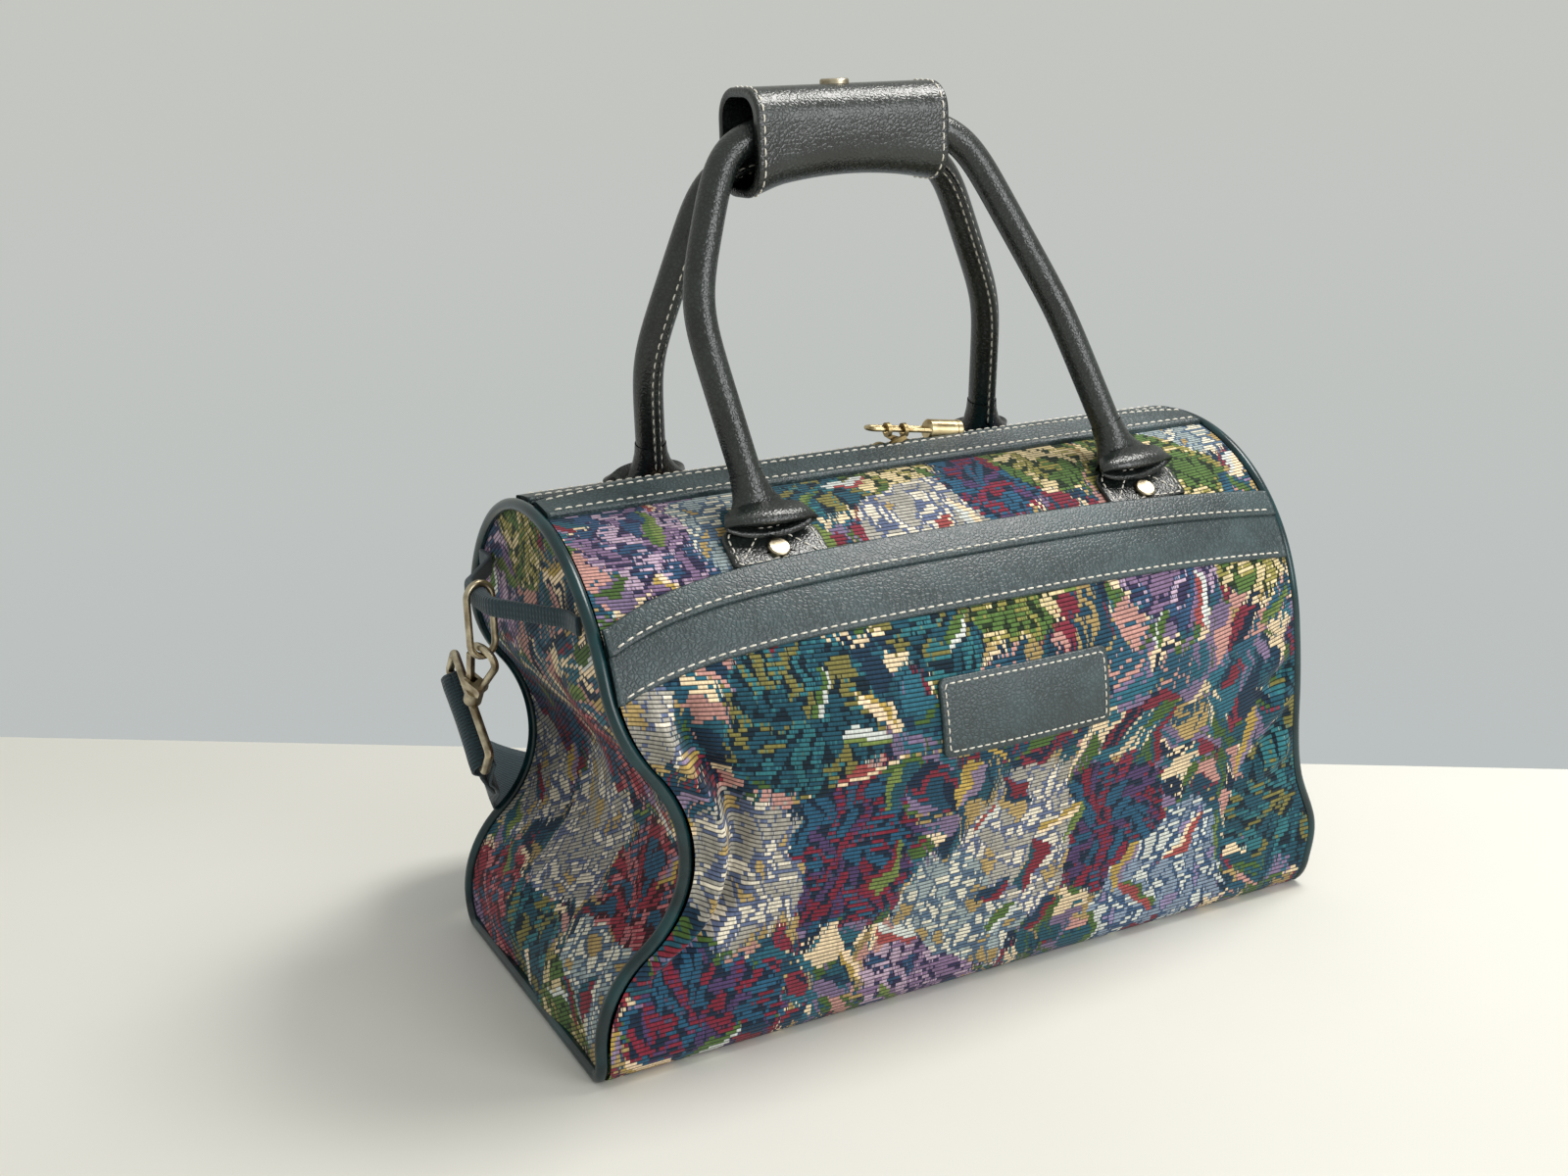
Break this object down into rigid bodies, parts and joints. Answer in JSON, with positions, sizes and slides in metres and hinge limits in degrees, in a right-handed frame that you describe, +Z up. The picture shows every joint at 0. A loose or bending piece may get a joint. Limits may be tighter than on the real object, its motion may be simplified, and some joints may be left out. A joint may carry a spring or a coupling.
{
  "type": "tapestry travel bag",
  "caption": "Soft floral-tapestry carpet bag with a zipped top, front pocket, piped ends, rolled leather handles in a snap hand wrap, a small padlock and a clip-on webbing strap.",
  "frame": {"origin": "on the table under the middle of the base", "axes": "+X along the bag to the right as seen from the front, +Y to the back, +Z up"},
  "size_m": [0.4176, 0.2642, 0.406],
  "materials": {
    "tapestry": "woven floral tapestry, ribbed",
    "leather": "fine grain, soft sheen",
    "piping": "smooth vinyl",
    "board": "plain",
    "zip_tape": "woven tape",
    "zip_metal": "antique",
    "padlock_metal": "polished",
    "fastener_metal": "antique",
    "webbing": "ribbed webbing",
    "clip_metal": "antique nickel"
  },
  "bodies": {
    "bag": {"back_panel": "tapestry", "base_board": "board", "bottom_panel": "tapestry", "front_handle": "leather", "front_left_tab": "leather", "front_panel": "tapestry", "front_right_tab": "leather", "front_tab_rivets": "fastener_metal", "front_zip_strip": "leather", "front_zip_tape": "zip_tape", "handle_wrap": "leather", "label_patch": "leather", "left_end_panel": "tapestry", "left_piping": "piping", "left_ring_keeper": "webbing", "pocket_binding": "leather", "pocket_facing": "leather", "pocket_panel": "tapestry", "rear_handle": "leather", "rear_left_tab": "leather", "rear_right_tab": "leather", "rear_tab_rivets": "fastener_metal", "rear_zip_strip": "leather", "rear_zip_tape": "zip_tape", "right_end_panel": "tapestry", "right_piping": "piping", "right_ring_keeper": "webbing", "strap_left": "webbing", "strap_right": "webbing", "strap_slide": "clip_metal", "wrap_snap_cap": "fastener_metal", "wrap_snap_socket": "fastener_metal", "zip_teeth": "zip_metal"},
    "zip_pair": {"left_slider": "zip_metal", "right_slider": "zip_metal", "left_pull": "zip_metal", "right_pull": "zip_metal"},
    "padlock": {"padlock_body": "padlock_metal", "padlock_shackle": "padlock_metal"},
    "left_clip": {"left_ring": "clip_metal", "left_hook": "clip_metal", "left_strap_loop": "clip_metal"},
    "right_clip": {"right_ring": "clip_metal", "right_hook": "clip_metal", "right_strap_loop": "clip_metal"},
    "left_catch": {"left_gate": "clip_metal"},
    "right_catch": {"right_gate": "clip_metal"}
  },
  "joints": [
    {"name": "zip_travel", "type": "slide", "parent": "bag", "child": "zip_pair", "axis": [1, 0, 0], "range_m": [-0.12, 0.12]},
    {"name": "padlock_swing", "type": "hinge", "parent": "zip_pair", "child": "padlock", "pos_m": [0.0105, -0.0035, 0.2448], "axis": [0.9903, 0, -0.1392], "range_deg": [0, 75]},
    {"name": "left_ring_swing", "type": "hinge", "parent": "bag", "child": "left_clip", "pos_m": [-0.201, 0, 0.196], "axis": [0, 1, 0], "range_deg": [0, 40], "deforming": ["strap_left"]},
    {"name": "right_ring_swing", "type": "hinge", "parent": "bag", "child": "right_clip", "pos_m": [0.201, 0, 0.196], "axis": [0, -1, 0], "range_deg": [0, 40], "deforming": ["strap_right"]},
    {"name": "left_gate_swing", "type": "hinge", "parent": "left_clip", "child": "left_catch", "pos_m": [-0.20277, 0.01784, 0.15285], "axis": [0.8542, 0.3983, 0.3342], "range_deg": [0, 20], "stiffness_Nm_per_rad": 0.01, "springref_deg": -17.19},
    {"name": "right_gate_swing", "type": "hinge", "parent": "right_clip", "child": "right_catch", "pos_m": [0.20277, 0.01784, 0.15285], "axis": [0.8542, -0.3983, -0.3342], "range_deg": [0, 20], "stiffness_Nm_per_rad": 0.01, "springref_deg": -17.19}
  ]
}
